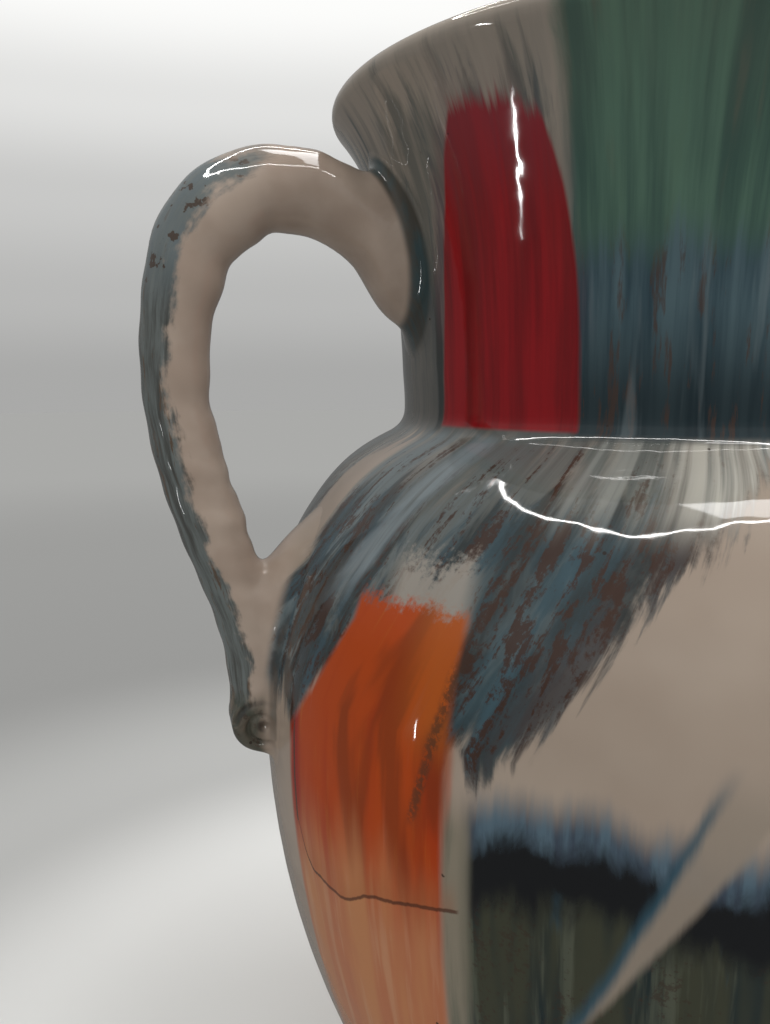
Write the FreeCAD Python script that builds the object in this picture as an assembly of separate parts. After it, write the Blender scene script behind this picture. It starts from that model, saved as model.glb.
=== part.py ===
# A one-handled pouring jug in glazed pottery: a broad belly on a disc foot, a wide neck that flares to a
# pinched three-lobed mouth, and one round coil handle that ends low down in a rolled scroll.
# Sizes are in millimetres. +Z is up, the origin is the middle of the underside, the handle is on the -X
# side and the pouring lip on the +X side.
import FreeCAD, Part
import math
import os

from FreeCAD import Vector

# Overall sizes of the glazed jug.
jug_height = 300.0
belly_radius = 105.0
belly_height = 149.0
neck_radius = 67.3
seam_height = 220.5
rim_radius = 85.6
flare_angle = 37.0

# Thicknesses of the thrown clay and of the glaze that covers it.
belly_wall = 5.5
neck_wall = 5.0
floor_thickness = 7.0
glaze = 0.5

# The disc foot, hollowed below, and the socket on top that the belly's base is luted into.
foot_radius = 63.0
foot_height = 10.0
foot_edge_round = 3.0
foot_hollow_radius = 47.0
foot_hollow_depth = 2.5
foot_hollow_slope = 3.0
socket_depth = 2.5
base_radius = 58.0
slip_gap = 0.2
inside_corner = 17.0

# The tongue under the neck that drops into the shoulder, and the coil of clay smoothed round the joint.
tongue_height = 5.0
tongue_thickness = 2.4
coil_spread = 5.0
coil_rise = 4.0

# The pouring lip and the two pinches beside it.
spout_reach = 10.0
spout_width_angle = 21.0
pinch_depth = 16.0
pinch_angle = 52.0
pinch_width_angle = 19.0

# The handle's centre line and its round coil. The shares are of the neck's height.
handle_stand_out = 19.5
handle_top_share = 0.694
coil_radius = 8.0
upper_root_share = 0.51
upper_root_half_share = 0.258
upper_root_half_width = 12.6
root_bite = 3.0

# The rolled scroll that ends the handle.
scroll_radius = 7.4
scroll_half_width = 7.2
scroll_edge_round = 2.6
scroll_height = 149.5
scroll_stand_out = 2.0
groove_radius = 0.8
groove_inner_radius = 1.4
groove_turns = 1.6

# The pads of clay that are smeared round the two roots of the handle. The upper one's share is of the neck's
# height, and the lower one's are of the height from the scroll to the seam.
upper_pad_half_share = 0.327
upper_pad_half_width = 17.0
upper_pad_thickness = 3.6
lower_pad_share = 0.43
lower_pad_half_share = 0.317
lower_pad_half_width = 14.5
lower_pad_thickness = 7.6

# Counts of points round a skinned piece, and along each turn of the scroll's groove.
mouth_points = 36
coil_points = 16
groove_steps = 8

# The belly below its widest line: shares of the rise and of the swell from the base to there.
lower_belly_shares = [(0.0, 0.0), (0.129, 0.255), (0.332, 0.574), (0.533, 0.806), (0.768, 0.955)]
# The shoulder above it: shares of the rise to the seam and of the radius left over the neck's.
shoulder_shares = [(0.0, 1.0), (0.231, 0.973), (0.459, 0.891), (0.621, 0.769), (0.752, 0.618),
                   (0.849, 0.464), (0.930, 0.257), (1.0, 0.0)]
# The neck: shares of the rise from the seam to the lip's centre and of the flare there.
neck_shares = [(0.0, 0.0), (0.075, 0.0), (0.165, 0.022), (0.345, 0.068), (0.528, 0.17), (0.681, 0.32),
               (0.803, 0.515), (0.91, 0.735)]
# The height share of the neck where the mouth starts to leave the round.
mouth_start_share = 0.3
# The turn round the lip, as shares of its half circle.
lip_shares = [0.15, 0.32, 0.5, 0.68, 0.85]
# The handle's centre line up its arch: shares of its reach past the neck, of the drop from the arch's top to
# the upper root, its section in the handle's plane and across it as shares of the coil's radius, and the
# share of the turn that the section has made from the neck's wall to square across the coil.
arch_shares = [(0.163, 0.776, 2.15, 1.44, 0.0), (0.269, 0.405, 1.60, 1.37, 0.0),
               (0.379, 0.121, 1.28, 1.30, 0.3)]
# The same down its leg, with the drop from the arch's top to the scroll.
leg_shares = [(0.544, 0.0, 1.23, 1.23, 1.0), (0.703, 0.015, 1.28, 1.26, 1.0), (0.820, 0.051, 1.29, 1.25, 1.0),
              (0.897, 0.094, 1.23, 1.20, 1.0), (0.951, 0.159, 1.14, 1.14, 1.0), (0.996, 0.278, 1.03, 1.05, 1.0),
              (0.990, 0.403, 0.99, 1.02, 1.0), (0.932, 0.527, 1.02, 1.02, 1.0), (0.845, 0.654, 0.99, 1.02, 1.0),
              (0.765, 0.764, 0.93, 1.03, 1.0), (0.715, 0.87, 0.89, 1.0, 1.0), (0.703, 0.99, 0.85, 0.93, 1.0)]

UP = Vector(0, 0, 1)
ACROSS = Vector(0, 1, 0)
ORIGIN = Vector(0, 0, 0)


def at(radius, height):
    """A point of an outline, in the half plane on the +X side."""
    return Vector(radius, 0, height)


def spline(points, parameters=None):
    """A smooth curve through the points."""
    curve = Part.BSplineCurve()
    if parameters:
        curve.interpolate(Points=points, Parameters=parameters)
    else:
        curve.interpolate(Points=points)
    return curve


def line(start, end):
    return Part.LineSegment(start, end).toShape()


def turned(edges):
    """The solid swept by a closed outline turned once round the jug's axis."""
    face = Part.Face(Part.Wire(Part.__sortEdges__(edges)))
    return face.revolve(ORIGIN, UP, 360)


def outward_normals(points):
    """At each point of an outline that climbs the outside of the wall, the direction out of the clay."""
    curve = spline(points)
    normals = []
    for point in points:
        tangent = curve.tangent(curve.parameter(point))[0]
        normals.append(Vector(tangent.z, 0, -tangent.x))
    return normals


def inset(points, normals, depth):
    return [point - normal * depth for point, normal in zip(points, normals)]


def belly_points():
    """The glazed outside of the belly, from the foot to the seam under the neck."""
    points = []
    for rise, swell in lower_belly_shares:
        points.append(at(base_radius + swell * (belly_radius - base_radius),
                         foot_height + rise * (belly_height - foot_height)))
    for rise, left_over in shoulder_shares[1:]:
        points.append(at(neck_radius + left_over * (belly_radius - neck_radius),
                         belly_height + rise * (seam_height - belly_height)))
    return points


def belly_wall_points(depth):
    """The belly's outline at a depth under its glazed outside, with both ends kept at their heights."""
    points = belly_points()
    normals = outward_normals(points)
    wall = inset(points, normals, depth)
    for i in (0, -1):
        wall[i] = at(points[i].x - depth / normals[i].x, points[i].z)
    return wall


def hollow_points(depth, end):
    """The outline of the hollow at a depth under the glazed outside, from low on the wall to its end."""
    points = belly_points()
    return inset(points, outward_normals(points), depth)[1:-1] + [end]


def hollow_edges(depth, floor_height, end):
    """The outline of the hollow: its flat floor from the axis, a turned corner and the wall."""
    wall = spline(hollow_points(depth, end))
    bottom = wall.value(wall.FirstParameter)
    fall = wall.tangent(wall.FirstParameter)[0]
    corner = bottom - fall * ((bottom.z - floor_height) / fall.z)
    flat_end = at(corner.x - inside_corner, floor_height)
    turn = Part.BezierCurve()
    turn.setPoles([bottom, corner, flat_end])
    return [line(at(0, floor_height), flat_end), turn.toShape(), wall.toShape()]


def neck_bore(coat):
    """The radius of the neck's hollow where it meets the shoulder."""
    return neck_radius - neck_wall - glaze - coat


def throat_radius():
    """The radius of the belly's mouth, which takes the tongue under the neck."""
    return neck_bore(0) + tongue_thickness + slip_gap


def tongue_bottom():
    return seam_height - tongue_height


def socket_floor():
    return foot_height - socket_depth


def skin(rings, stops):
    """A smooth surface through rings of poles, as quarters that are parted at the rings in stops."""
    parameters = [0.0]
    for before, after in zip(rings, rings[1:]):
        steps = [(b - a).Length for a, b in zip(before, after)]
        parameters.append(parameters[-1] + sum(steps) / len(steps))
    lines = [spline([ring[i] for ring in rings], parameters) for i in range(len(rings[0]))]
    around = len(lines)
    surface = Part.BSplineSurface()
    surface.buildFromPolesMultsKnots([curve.getPoles() for curve in lines],
                                     [1] * (around + 1), lines[0].getMultiplicities(),
                                     [float(i) for i in range(around + 1)], lines[0].getKnots(),
                                     True, False, 3, 3)
    quarters = []
    for i in range(4):
        parts = []
        for start, end in zip(stops, stops[1:]):
            part = surface.copy()
            part.segment(around * i / 4, around * (i + 1) / 4, parameters[start], parameters[end])
            parts.append(part)
        quarters.append(parts)
    return quarters


def end_wires(quarters):
    """The closed curves where a skin starts and ends."""
    start = [parts[0].vIso(parts[0].bounds()[2]).toShape() for parts in quarters]
    end = [parts[-1].vIso(parts[-1].bounds()[3]).toShape() for parts in quarters]
    return Part.Wire(start), Part.Wire(end)


def closed_solid(quarters, caps):
    """The solid within a skin and its caps."""
    shell = Part.makeShell([part.toShape() for parts in quarters for part in parts] + caps)
    shell.sewShape()
    solid = Part.Solid(shell)
    if solid.Volume < 0:
        solid.reverse()
    return solid


def capped_tube(rings):
    """A solid with a skin round it and a flat end on each side."""
    quarters = skin(rings, [0, len(rings) - 1])
    return closed_solid(quarters, [Part.Face(wire) for wire in end_wires(quarters)])


def neck_section(coat):
    """Half the neck's wall cut open: up the outside, over the lip and down the inside, with its coat."""
    full = neck_wall / 2 + glaze
    lip_centre = at(rim_radius - full, jug_height - full)
    out = Vector(math.cos(math.radians(flare_angle)), 0, -math.sin(math.radians(flare_angle)))
    along = Vector(-out.z, 0, out.x)
    lip_start = lip_centre + out * full
    outside = []
    for rise, flare in neck_shares:
        outside.append(at(neck_radius + flare * (lip_start.x - neck_radius),
                          seam_height + rise * (lip_start.z - seam_height)))
    outside.append(lip_start)
    normals = outward_normals(outside)
    normals[0] = Vector(1, 0, 0)
    normals[-1] = out
    half = neck_wall / 2 + coat
    middle = inset(outside, normals, full)
    climb = [point + normal * half for point, normal in zip(middle, normals)]
    descent = [point - normal * half for point, normal in zip(middle, normals)]
    lip = []
    for share in lip_shares:
        turn = math.radians(180 * share)
        lip.append(lip_centre + (out * math.cos(turn) + along * math.sin(turn)) * half)
    return climb, lip, descent[::-1] + [at(neck_bore(coat), tongue_bottom())]


def bell(angle, centre, width):
    """A smooth bump of height 1 round the centre angle."""
    away = (angle - centre + 180) % 360 - 180
    return math.exp(-(away / width) ** 2)


def mouth_shift(angle, height):
    """How far the wall stands out from the round at this angle and height."""
    share = (height - seam_height) / (jug_height - seam_height)
    rise = max(0.0, (share - mouth_start_share) / (1 - mouth_start_share))
    spout = spout_reach * bell(angle, 0, spout_width_angle)
    pinches = bell(angle, pinch_angle, pinch_width_angle) + bell(angle, -pinch_angle, pinch_width_angle)
    return (spout - pinch_depth * pinches) * rise * rise


def pole_scale(count):
    """What takes poles spaced round a circle out to where their closed curve has the circle's radius."""
    return 6 / (4 + 2 * math.cos(2 * math.pi / count))


def mouth_ring(point):
    """The poles of the closed curve that a point of the neck's section follows round the mouth."""
    ring = []
    for i in range(mouth_points):
        angle = 360 * i / mouth_points
        radius = (point.x + mouth_shift(angle, point.z)) * pole_scale(mouth_points)
        turn = math.radians(angle)
        ring.append(Vector(radius * math.cos(turn), radius * math.sin(turn), point.z))
    return ring


def coil_ring(centre, side, half_side, half_across):
    """The poles of an oval section of the handle: side is its axis in the handle's plane."""
    ring = []
    for i in range(coil_points):
        turn = 2 * math.pi * i / coil_points
        reach = side * (half_side * math.cos(turn)) + ACROSS * (half_across * math.sin(turn))
        ring.append(centre + reach * pole_scale(coil_points))
    return ring


def neck_skin(coat):
    """The neck's surface up the outside, over the lip and down the inside to the tongue, with its coat."""
    climb, lip, descent = neck_section(coat)
    rings = [mouth_ring(point) for point in climb + lip + descent]
    return skin(rings, [0, len(climb) - 1, len(climb) + len(lip), len(rings) - 1])


def belly_envelope():
    """Everything within the clay outside of the belly."""
    wall = belly_wall_points(glaze)
    edges = [line(at(0, wall[0].z), wall[0]), spline(wall).toShape(),
             line(wall[-1], at(0, wall[-1].z)), line(at(0, wall[-1].z), at(0, wall[0].z))]
    return turned(edges)


def neck_envelope():
    """Everything within the clay outside of the neck."""
    outside = [parts[:1] for parts in neck_skin(0)]
    return closed_solid(outside, [Part.Face(wire) for wire in end_wires(outside)])


def wall_point(outline, height):
    """The point of an outline at this height, on the handle's side, with the direction up the wall."""
    curve = spline(outline)
    level = Part.LineSegment(at(0, height), at(belly_radius + rim_radius, height))
    point = curve.intersectCC(level)[0].toShape().Point
    tangent = curve.tangent(curve.parameter(point))[0]
    return Vector(-point.x, 0, point.z), Vector(-tangent.x, 0, tangent.z)


def out_of_wall(up_wall):
    """The direction out of the wall on the handle's side."""
    return Vector(-up_wall.z, 0, up_wall.x)


def cut_away(solid, tools):
    """What is left of a solid outside the tools, as its largest piece."""
    left = solid.cut(tools)
    return max(left.Solids, key=lambda piece: piece.Volume)


def foot():
    """The disc foot, hollowed below, with a shallow socket for the belly's base."""
    inner = foot_radius - foot_edge_round
    bend = foot_edge_round * math.sqrt(2) / 2
    low_bend = at(inner + bend, foot_edge_round - bend)
    high_bend = at(inner + bend, foot_height - foot_edge_round + bend)
    low = at(foot_radius, foot_edge_round)
    high = at(foot_radius, foot_height - foot_edge_round)
    socket_radius = belly_wall_points(glaze)[0].x + slip_gap
    path = [at(inner, foot_height), at(socket_radius, foot_height), at(socket_radius, socket_floor()),
            at(0, socket_floor()), at(0, foot_hollow_depth), at(foot_hollow_radius, foot_hollow_depth),
            at(foot_hollow_radius + foot_hollow_slope, 0), at(inner, 0)]
    edges = [line(start, end) for start, end in zip(path, path[1:])]
    edges += [Part.Arc(at(inner, 0), low_bend, low).toShape(), line(low, high),
              Part.Arc(high, high_bend, at(inner, foot_height)).toShape()]
    return turned(edges)


def belly():
    """The thrown belly and shoulder, with its floor, open at the throat."""
    wall = belly_wall_points(glaze)
    throat = at(throat_radius(), tongue_bottom())
    base = at(wall[0].x, socket_floor())
    rim = at(throat.x, seam_height)
    inside_floor = socket_floor() + floor_thickness
    edges = [line(at(0, base.z), base), line(base, wall[0]), spline(wall).toShape(),
             line(wall[-1], rim), line(rim, throat)]
    edges += hollow_edges(glaze + belly_wall, inside_floor, throat)
    edges.append(line(at(0, inside_floor), at(0, base.z)))
    return turned(edges)


def liner_glaze():
    """The glaze on the floor and wall inside the belly, up to the underside of the tongue."""
    inside_floor = socket_floor() + floor_thickness
    throat = at(throat_radius(), tongue_bottom())
    bore = at(neck_bore(glaze), tongue_bottom())
    end = at(bore.x, bore.z - glaze)
    edges = hollow_edges(glaze + belly_wall, inside_floor, throat)
    edges += hollow_edges(glaze + belly_wall + glaze, inside_floor + glaze, end)
    edges += [line(throat, bore), line(bore, end), line(at(0, inside_floor), at(0, inside_floor + glaze))]
    return turned(edges)


def flat_ring(outer, inner):
    return Part.Face([outer, inner], "Part::FaceMakerBullseye")


def neck():
    """The neck with its flared, pinched mouth, and the tongue that drops into the shoulder."""
    quarters = neck_skin(0)
    seam, bore = end_wires(quarters)
    tongue_radius = neck_bore(0) + tongue_thickness
    root = Part.Wire(Part.makeCircle(tongue_radius, at(0, seam_height), UP))
    tip = Part.Wire(Part.makeCircle(tongue_radius, at(0, tongue_bottom()), UP))
    tongue = Part.makeRuledSurface(root, tip)
    return closed_solid(quarters, [flat_ring(seam, root), flat_ring(tip, bore)] + tongue.Faces)


def neck_glaze():
    """The glaze over the outside of the neck, its lip and its inside down to the tongue's tip."""
    outside = neck_skin(glaze)
    inside = neck_skin(0)
    seam, bore = end_wires(outside)
    clay_seam, clay_bore = end_wires(inside)
    return closed_solid(outside + inside, [flat_ring(seam, clay_seam), flat_ring(clay_bore, bore)])


def belly_glaze():
    """The glaze on the outside of the belly and shoulder."""
    outside = belly_points()
    wall = belly_wall_points(glaze)
    edges = [spline(outside).toShape(), spline(wall).toShape(), line(outside[0], wall[0]),
             line(outside[-1], wall[-1])]
    return turned(edges)


def seam_coil():
    """The coil of clay smoothed into the corner between the shoulder and the neck."""
    outside = spline(belly_points())
    low = outside.value(outside.parameter(at(neck_radius + coil_spread, seam_height)))
    high = at(neck_radius, seam_height + coil_rise)
    hollow = Part.BezierCurve()
    hollow.setPoles([low, at(neck_radius, seam_height), high])
    core = at(neck_radius - neck_wall, low.z - belly_wall)
    edges = [hollow.toShape(), line(high, at(core.x, high.z)), line(at(core.x, high.z), core),
             line(core, at(low.x, core.z)), line(at(low.x, core.z), low)]
    return turned(edges)


def on_neck(share):
    """The height at this share of the way from the seam up to the rim."""
    return seam_height + share * (jug_height - seam_height)


def handle_centres():
    """The handle's centre line past the neck's wall, over the arch and down to the scroll."""
    top = on_neck(handle_top_share)
    reach = belly_radius + handle_stand_out - neck_radius
    centres = []
    for table, end in ((arch_shares, on_neck(upper_root_share)), (leg_shares, scroll_height)):
        for shares in table:
            centres.append(Vector(-(neck_radius + shares[0] * reach), 0, top - shares[1] * (top - end)))
    return centres


def handle():
    """The round coil, which spreads into the neck and lies down against the belly."""
    root, up_wall = wall_point(neck_section(glaze)[0], on_neck(upper_root_share))
    start = root - out_of_wall(up_wall) * root_bite
    centres = handle_centres()
    path = spline([start] + centres)
    half_height = upper_root_half_share * (jug_height - seam_height)
    rings = [coil_ring(start, up_wall, half_height, upper_root_half_width)]
    for centre, shares in zip(centres, arch_shares + leg_shares):
        in_plane, across, turned_share = shares[2:]
        tangent = path.tangent(path.parameter(centre))[0]
        square = Vector(tangent.z, 0, -tangent.x)
        side = (up_wall * (1 - turned_share) + square * turned_share).normalize()
        rings.append(coil_ring(centre, side, coil_radius * in_plane, coil_radius * across))
    return capped_tube(rings)


def spiral(middle):
    """The curve of the scroll's groove, wound inwards round the middle of one of its flat sides."""
    outer = scroll_radius - scroll_edge_round
    points = []
    steps = round(groove_turns * groove_steps)
    for i in range(steps + 1):
        turn = math.pi + 2 * math.pi * groove_turns * i / steps
        radius = outer + (groove_inner_radius - outer) * i / steps
        points.append(middle + Vector(radius * math.cos(turn), 0, radius * math.sin(turn)))
    return spline(points)


def scroll():
    """The small roll of clay that ends the handle, with a spiral groove in each side."""
    middle, up_wall = wall_point(belly_points(), scroll_height)
    middle += out_of_wall(up_wall) * scroll_stand_out
    start = middle - ACROSS * scroll_half_width
    roll = Part.makeCylinder(scroll_radius, 2 * scroll_half_width, start, ACROSS)
    rims = [edge for edge in roll.Edges if edge.Curve.TypeId == "Part::GeomCircle"]
    roll = roll.makeFillet(scroll_edge_round, rims)
    grooves = []
    for side in (-1, 1):
        curve = spiral(middle + ACROSS * (side * scroll_half_width))
        first = curve.value(curve.FirstParameter)
        along = curve.tangent(curve.FirstParameter)[0]
        bit = Part.Wire(Part.makeCircle(groove_radius, first, along))
        grooves.append(Part.Wire(curve.toShape()).makePipeShell([bit], True, False))
    return cut_away(roll, grooves)


def pad(outline, height, thickness, half_width, half_height):
    """A wad of clay smeared flat on the wall round one of the handle's roots."""
    middle, up_wall = wall_point(outline, height)
    up = up_wall * half_height
    across = ACROSS * half_width
    out = out_of_wall(up_wall) * thickness
    stretch = FreeCAD.Matrix(up.x, across.x, out.x, middle.x, up.y, across.y, out.y, middle.y,
                             up.z, across.z, out.z, middle.z, 0, 0, 0, 1)
    return Part.makeSphere(1).transformGeometry(stretch)


def pieces():
    """Every piece of the jug by name, each cut to lie against those that it is luted to."""
    neck_core = neck_envelope()
    belly_core = belly_envelope()
    ring = seam_coil()
    roll = scroll()
    coil = handle()
    upper = pad(neck_section(glaze)[0], on_neck(upper_root_share), upper_pad_thickness,
                upper_pad_half_width, upper_pad_half_share * (jug_height - seam_height))
    shoulder = seam_height - scroll_height
    lower = pad(belly_points(), scroll_height + lower_pad_share * shoulder, lower_pad_thickness,
                lower_pad_half_width, lower_pad_half_share * shoulder)
    made = {"foot": foot(), "belly": belly(), "neck": neck()}
    made["seam_coil"] = cut_away(ring, [belly_core, neck_core])
    made["scroll"] = cut_away(roll, [belly_core])
    made["handle"] = cut_away(coil, [neck_core, belly_core, roll])
    made["upper_pad"] = cut_away(upper, [neck_core, coil])
    made["lower_pad"] = cut_away(lower, [belly_core, coil])
    made["belly_glaze"] = cut_away(belly_glaze(), [ring, roll, coil, lower])
    made["neck_glaze"] = cut_away(neck_glaze(), [ring, coil, upper])
    made["liner_glaze"] = liner_glaze()
    return made


def main():
    os.makedirs("parts", exist_ok=True)
    for name, shape in pieces().items():
        shape.exportStep("parts/" + name + ".step")
        print(name, "volume", round(shape.Volume), "solids", len(shape.Solids), "valid", shape.isValid())


main()
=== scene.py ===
import math

import bpy
import numpy as np
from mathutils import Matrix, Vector


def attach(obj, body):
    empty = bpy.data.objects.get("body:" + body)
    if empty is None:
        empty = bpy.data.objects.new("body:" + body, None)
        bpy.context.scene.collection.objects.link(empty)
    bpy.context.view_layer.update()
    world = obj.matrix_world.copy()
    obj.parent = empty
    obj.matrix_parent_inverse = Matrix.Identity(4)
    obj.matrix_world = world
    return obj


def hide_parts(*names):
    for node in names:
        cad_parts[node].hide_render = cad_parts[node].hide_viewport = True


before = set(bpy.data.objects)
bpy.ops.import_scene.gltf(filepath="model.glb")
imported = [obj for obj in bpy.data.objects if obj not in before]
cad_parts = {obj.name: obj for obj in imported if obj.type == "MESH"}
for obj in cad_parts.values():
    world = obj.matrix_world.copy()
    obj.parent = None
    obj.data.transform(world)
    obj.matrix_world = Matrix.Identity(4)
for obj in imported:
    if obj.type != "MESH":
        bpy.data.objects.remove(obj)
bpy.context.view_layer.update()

# Sizes here are in millimetres, and meshes are scaled to metres when they are made.
MM = 0.001

# The glazed outside of the wall, as (radius, height): the belly, then the neck up to the turn of the lip.
BELLY = [(58.0, 10.0), (69.99, 27.93), (84.98, 56.15), (95.88, 84.09), (102.89, 116.75), (105.0, 149.0),
         (103.98, 165.5), (100.89, 181.8), (96.29, 193.4), (90.6, 202.8), (84.79, 209.7), (76.99, 215.5),
         (67.3, 220.5)]
NECK = [(67.3, 220.5), (67.3, 226.1), (67.69, 232.82), (68.5, 246.27), (70.31, 259.94), (72.96, 271.36),
        (76.41, 280.48), (80.31, 288.47), (84.996, 295.195)]
LIP_CENTRE = (82.6, 297.0)
LIP_HALF = 3.0
LIP_ANGLE = 37.0
SEAM = 220.5
TOP = 300.0
NECK_WALL = 6.0
BELLY_WALL = 6.5

# The handle's centre line: distance from the axis, height, half size in the handle's plane, half size across,
# and the share of the turn from the neck's slant to square across the coil.
COIL = [
    (67.55, 261.54, 20.5, 12.6, 0.0), (76.62, 264.32, 17.2, 11.52, 0.0), (82.69, 269.75, 12.8, 10.96, 0.0),
    (88.98, 273.9, 10.24, 10.4, 0.3), (98.42, 275.67, 9.84, 9.84, 1.0), (107.51, 273.78, 10.24, 10.08, 1.0),
    (114.2, 269.24, 10.32, 10.0, 1.0), (118.61, 263.81, 9.84, 9.6, 1.0), (121.7, 255.61, 9.12, 9.12, 1.0),
    (124.27, 240.6, 8.24, 8.4, 1.0), (123.93, 224.82, 7.92, 8.16, 1.0), (120.61, 209.18, 8.16, 8.16, 1.0),
    (115.63, 193.15, 7.92, 8.16, 1.0), (111.06, 179.27, 7.44, 8.24, 1.0), (108.2, 165.9, 7.12, 8.0, 1.0),
    (107.51, 150.76, 6.8, 7.44, 1.0)]
COIL_STEP = 0.8
NECK_SLANT = (0.1806, 0.9836)

# The rolled end: its middle as (distance from the axis, height), radius, half width and rounded edge.
ROLL = (107.0, 149.5)
ROLL_RADIUS = 7.4
ROLL_HALF = 7.2
ROLL_EDGE = 2.4

# The soft corner between shoulder and neck starts at this radius and ends at this height.
FILLET_RADIUS = 72.3
FILLET_TOP = 224.5

# The handle's mesh goes this far under the wall's surface, and ends where it stands out less than SKIN.
UNDER_WALL = 1.6
SKIN = 0.008

# The height where the handle's mesh gives way to the scroll's.
CUT = 160.0

# The wall's mesh: points up its height, points round it, and the mesh round the inside.
WALL_STEP = 1.9
WALL_ANGLES = 288
INSIDE_STEP = 3.0
INSIDE_ANGLES = 200


def smooth_curve(points, step):
    """Points about a step apart on a smooth curve through the given ones."""
    p = np.array(points, float)
    s = np.concatenate([[0], np.cumsum(np.linalg.norm(np.diff(p[:, :2], axis=0), axis=1))])
    n, h = len(s), np.diff(s)
    a, b = np.zeros((n, n)), np.zeros(p.shape)
    a[0, 0] = a[-1, -1] = 1
    for i in range(1, n - 1):
        a[i, i - 1:i + 2] = h[i - 1], 2 * (h[i - 1] + h[i]), h[i]
        b[i] = 6 * ((p[i + 1] - p[i]) / h[i] - (p[i] - p[i - 1]) / h[i - 1])
    m = np.linalg.solve(a, b)
    t = np.linspace(0, s[-1], max(2, round(s[-1] / step) + 1))
    k = np.clip(np.searchsorted(s, t, side="right") - 1, 0, n - 2)
    u, v, hk = (s[k + 1] - t)[:, None], (t - s[k])[:, None], h[k][:, None]
    return ((m[k] * u ** 3 + m[k + 1] * v ** 3) / (6 * hk)
            + (p[k] / hk - m[k] * hk / 6) * u + (p[k + 1] / hk - m[k + 1] * hk / 6) * v)


def out_of(path):
    """The direction out of the clay along a path that climbs the outside."""
    run = np.gradient(path[:, :2], axis=0)
    run /= np.linalg.norm(run, axis=1)[:, None]
    return np.stack([run[:, 1], -run[:, 0]], 1)


def spaced(path, step):
    """The same path with points a step apart."""
    s = np.concatenate([[0], np.cumsum(np.linalg.norm(np.diff(path, axis=0), axis=1))])
    t = np.linspace(0, s[-1], max(2, round(s[-1] / step) + 1))
    return np.stack([np.interp(t, s, path[:, 0]), np.interp(t, s, path[:, 1])], 1)


def mouth_shift(turn, z):
    """How far the wall stands out from the round: the pouring lip and the two pinches beside it."""
    rise = np.clip(((z - SEAM) / (TOP - SEAM) - 0.3) / 0.7, 0, None) ** 2
    bells = []
    for centre, width in ((0, 21), (52, 19), (-52, 19)):
        away = (np.degrees(turn) - centre + 180) % 360 - 180
        bells.append(np.exp(-(away / width) ** 2))
    return (10 * bells[0] - 16 * (bells[1] + bells[2])) * rise


def shortfall(turn, z):
    """How far the hand-thrown wall falls short of true.

    There are slow dents, ripples on the shoulder, throwing rings and the rolled edge of the glaze above the
    foot, where the wall stands out a little instead.
    """
    slow = (np.sin(2 * turn + 0.031 * z + 0.6) + np.sin(3 * turn - 0.045 * z + 2.1)
            + 0.7 * np.sin(5 * turn + 0.06 * z + 4.0) + 0.6 * np.sin(8 * turn - 0.08 * z + 1.0))
    shoulder = np.exp(-((z - 207) / 12) ** 2)
    ripple = np.sin(13 * turn + 0.07 * z + 0.9) + 0.55 * np.sin(21 * turn - 0.11 * z + 2.2)
    ripple += 0.5 * np.sin(31 * turn + 0.05 * z)
    dents = np.sin(11 * turn + 0.10 * z) * np.sin(0.13 * z + 2 * turn) * np.exp(-((z - 175) / 40) ** 2)
    rings = np.sin(0.62 * z + turn + 1.3 * np.sin(turn + 0.02 * z))
    flat = np.exp(-((z - 220) / 5) ** 2)
    edge = z - 13.6 - 0.5 * np.sin(3 * turn + 1) - 0.4 * np.sin(7 * turn + 2) - 0.25 * np.sin(17 * turn)
    foot_edge = 0.45 * np.clip(-edge, 0, 1) - 0.5 * np.exp(-((edge - 0.9) / 1.1) ** 2)
    return (0.62 + (0.1 * slow + 0.13 * shoulder * ripple + 0.06 * dents) * (1 - 0.6 * flat) + 0.022 * rings
            + foot_edge)


def bend(start, corner, end, count):
    """A curve from start to end that turns towards the corner between them."""
    share = np.linspace(0, 1, count)[:, None]
    return (start * (1 - share) ** 2 + np.array(corner) * 2 * share * (1 - share)
            + np.array(end) * share ** 2)


belly = smooth_curve(BELLY, 0.5)
neck = smooth_curve(NECK, 0.5)
fillet_start = belly[(belly[:, 1] > 200) & (belly[:, 0] < FILLET_RADIUS)][0]
fillet = bend(fillet_start, NECK[0], (NECK[0][0], FILLET_TOP), 12)
low_part = belly[belly[:, 1] < fillet_start[1]]
high_part = neck[neck[:, 1] > FILLET_TOP + 0.1]
outside = np.concatenate([low_part, fillet, high_part])
WALL_Z, WALL_R = outside[:, 1], outside[:, 0]
WALL_COS = out_of(outside)[:, 0]


def wall_gap(p):
    """How far points are outside the jug's wall."""
    turn = np.arctan2(p[:, 1], p[:, 0])
    z = p[:, 2]
    wall = np.interp(z, WALL_Z, WALL_R) + mouth_shift(turn, z) - shortfall(turn, z)
    return (np.hypot(p[:, 0], p[:, 1]) - wall) * np.interp(z, WALL_Z, WALL_COS)


line = smooth_curve(COIL, COIL_STEP)
CENTRE = line[:, :2]
tangent = np.gradient(CENTRE, axis=0)
tangent /= np.linalg.norm(tangent, axis=1)[:, None]
square_across = np.stack([-tangent[:, 1], tangent[:, 0]], 1)
turned_share = np.clip(line[:, 4], 0, 1)[:, None]
SIDE = np.array([NECK_SLANT]) * (1 - turned_share) + square_across * turned_share
SIDE /= np.linalg.norm(SIDE, axis=1)[:, None]
LENGTH = np.concatenate([[0], np.cumsum(np.linalg.norm(np.diff(CENTRE, axis=0), axis=1))])


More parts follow.
